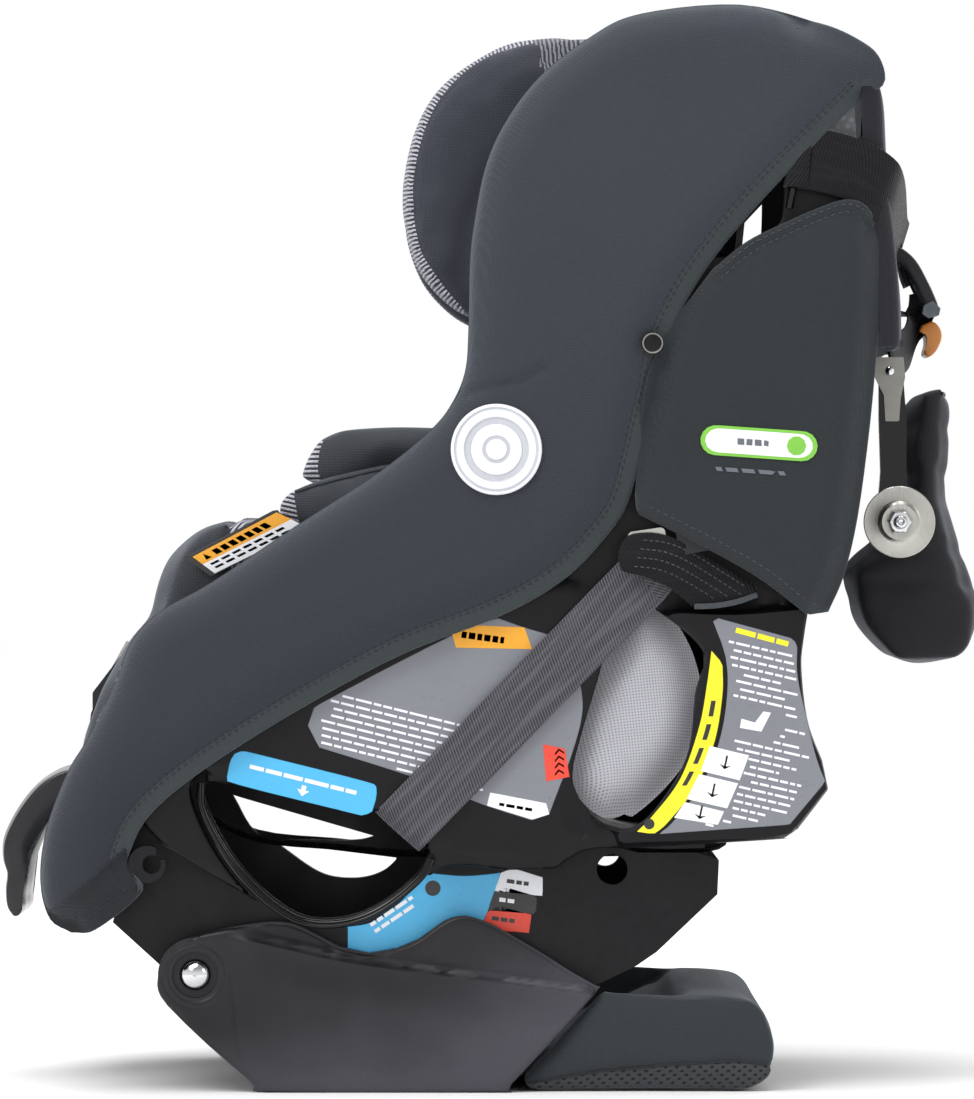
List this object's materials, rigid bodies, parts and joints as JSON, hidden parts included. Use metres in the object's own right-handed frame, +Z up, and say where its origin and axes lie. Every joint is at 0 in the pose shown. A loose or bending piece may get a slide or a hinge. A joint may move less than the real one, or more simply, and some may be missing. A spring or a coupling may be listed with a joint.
{
  "type": "convertible car seat",
  "caption": "Forward and rearward facing child seat: tub shell on a reclining base, rear stabiliser wedge, height-adjustable winged headrest, harness, belt paths, anchor strap and top tether.",
  "frame": {"origin": "on the flat underside of the base, in the seat's middle plane, 140 mm behind the base's front lower edge", "axes": "+X towards the seat's back, +Y towards the child's right, +Z up"},
  "size_m": [0.6501, 0.418, 0.699],
  "materials": {
    "base_plastic": "satin, lightly worn",
    "shell_plastic": "fine grain",
    "handle_plastic": "semi gloss",
    "hardware_plastic": "fine grain",
    "red_plastic": "semi gloss",
    "orange_plastic": "semi gloss",
    "badge": "raised rings",
    "steel": "zinc plated",
    "dome_steel": "polished",
    "foam": "beaded foam",
    "cover_fabric": "fine knit",
    "flap_fabric": "fine knit",
    "seat_fabric": "knit with grey stripe panels",
    "mesh_fabric": "spacer mesh",
    "bag_fabric": "plain weave nylon",
    "webbing": "twill webbing"
  },
  "bodies": {
    "base": {"base_frame": "base_plastic", "pivot_rod": "steel", "pivot_caps": "dome_steel", "recline_racks": "steel"},
    "stabiliser": {"stabiliser_core": "hardware_plastic", "stabiliser_cover": "flap_fabric", "stabiliser_mesh": "bag_fabric"},
    "recline_latch": {"recline_handle": "handle_plastic", "pull_link": "steel", "latch_bar": "steel"},
    "headrest": {"headrest_shell": "shell_plastic", "headrest_pad": "seat_fabric", "harness_carriage": "shell_plastic"},
    "lever_left": {"height_lever_left": "hardware_plastic"},
    "lever_right": {"height_lever_right": "hardware_plastic"},
    "flap_left": {"storage_flap_left": "flap_fabric"},
    "flap_right": {"storage_flap_right": "flap_fabric"},
    "buckle_press": {"buckle_button": "red_plastic"},
    "harness_release": {"adjuster_lever": "steel"},
    "tether_release": {"adjuster_cam": "orange_plastic"},
    "hook_lever": {"hook_latch": "steel"},
    "button_left": {"release_button_left": "red_plastic"},
    "button_right": {"release_button_right": "red_plastic"},
    "shell": {"latch_springs": "steel", "shell_side_left": "shell_plastic", "shell_side_right": "shell_plastic", "seat_pan": "shell_plastic", "back_panel": "shell_plastic", "rear_panel": "shell_plastic", "under_shell": "shell_plastic", "side_foam": "foam", "anchor_strap": "webbing", "connector_left": "hardware_plastic", "connector_right": "hardware_plastic", "connector_jaws": "steel", "side_cover_left": "cover_fabric", "side_cover_right": "cover_fabric", "seat_cushion": "seat_fabric", "back_cushion": "seat_fabric", "infant_insert": "seat_fabric", "path_lining": "mesh_fabric", "harness_straps": "webbing", "shoulder_pads": "seat_fabric", "harness_tongues": "steel", "buckle_housing": "hardware_plastic", "crotch_strap": "webbing", "adjuster_housing": "hardware_plastic", "adjuster_strap": "webbing", "harness_yoke": "steel", "tether_bars": "steel", "tether_straps": "webbing", "tether_adjuster": "hardware_plastic", "tether_hook": "hardware_plastic", "anchor_fitting": "steel", "anchor_bolt": "steel", "tether_bag": "bag_fabric", "side_badges": "badge", "snap_studs": "hardware_plastic", "cover_hooks": "hardware_plastic"}
  },
  "joints": [
    {"name": "recline_hinge", "type": "hinge", "parent": "base", "child": "shell", "pos_m": [-0.188, 0, 0.075], "axis": [0, 1, 0], "range_deg": [0, 7.2]},
    {"name": "stabiliser_slide", "type": "slide", "parent": "base", "child": "stabiliser", "axis": [1, 0, 0], "range_m": [0, 0.045]},
    {"name": "recline_pull", "type": "slide", "parent": "shell", "child": "recline_latch", "axis": [-1, 0, 0], "range_m": [0, 0.01], "stiffness_N_per_m": 1500, "springref_m": -0.004},
    {"name": "headrest_slide", "type": "slide", "parent": "shell", "child": "headrest", "axis": [0.1045, 0, 0.9945], "range_m": [0, 0.12]},
    {"name": "height_lever_left_pinch", "type": "hinge", "parent": "headrest", "child": "lever_left", "pos_m": [0.17447, -0.06, 0.4848], "axis": [0.1045, 0, 0.9945], "range_deg": [0, 12], "stiffness_Nm_per_rad": 0.6, "springref_deg": -5.73},
    {"name": "height_lever_right_pinch", "type": "hinge", "parent": "headrest", "child": "lever_right", "pos_m": [0.17447, 0.06, 0.4848], "axis": [-0.1045, 0, -0.9945], "range_deg": [0, 12], "stiffness_Nm_per_rad": 0.6, "springref_deg": -5.73},
    {"name": "storage_flap_left_open", "type": "hinge", "parent": "shell", "child": "flap_left", "pos_m": [0.0945, -0.2045, 0.36], "axis": [-0.113, 0, -0.9936], "range_deg": [0, 70]},
    {"name": "storage_flap_right_open", "type": "hinge", "parent": "shell", "child": "flap_right", "pos_m": [0.0945, 0.2045, 0.36], "axis": [0.113, 0, 0.9936], "range_deg": [0, 70]},
    {"name": "buckle_button_press", "type": "slide", "parent": "shell", "child": "buckle_press", "axis": [-0.5, 0, -0.866], "range_m": [0, 0.005], "stiffness_N_per_m": 2500, "springref_m": -0.002},
    {"name": "harness_release_lift", "type": "hinge", "parent": "shell", "child": "harness_release", "pos_m": [-0.2385, 0, 0.2845], "axis": [0, 1, 0], "range_deg": [0, 20], "stiffness_Nm_per_rad": 0.5, "springref_deg": -5.73},
    {"name": "tether_release_lift", "type": "hinge", "parent": "shell", "child": "tether_release", "pos_m": [0.2905, 0, 0.4995], "axis": [0, -1, 0], "range_deg": [0, 25], "stiffness_Nm_per_rad": 0.3, "springref_deg": -5.73},
    {"name": "hook_lever_swing", "type": "hinge", "parent": "shell", "child": "hook_lever", "pos_m": [0.264, -0.0855, 0.466], "axis": [0, -1, 0], "range_deg": [0, 25], "stiffness_Nm_per_rad": 0.2, "springref_deg": -5.73},
    {"name": "connector_button_left_press", "type": "slide", "parent": "shell", "child": "button_left", "axis": [0, 1, 0], "range_m": [0, 0.0025], "stiffness_N_per_m": 2500, "springref_m": -0.001},
    {"name": "connector_button_right_press", "type": "slide", "parent": "shell", "child": "button_right", "axis": [0, -1, 0], "range_m": [0, 0.0025], "stiffness_N_per_m": 2500, "springref_m": -0.001}
  ]
}
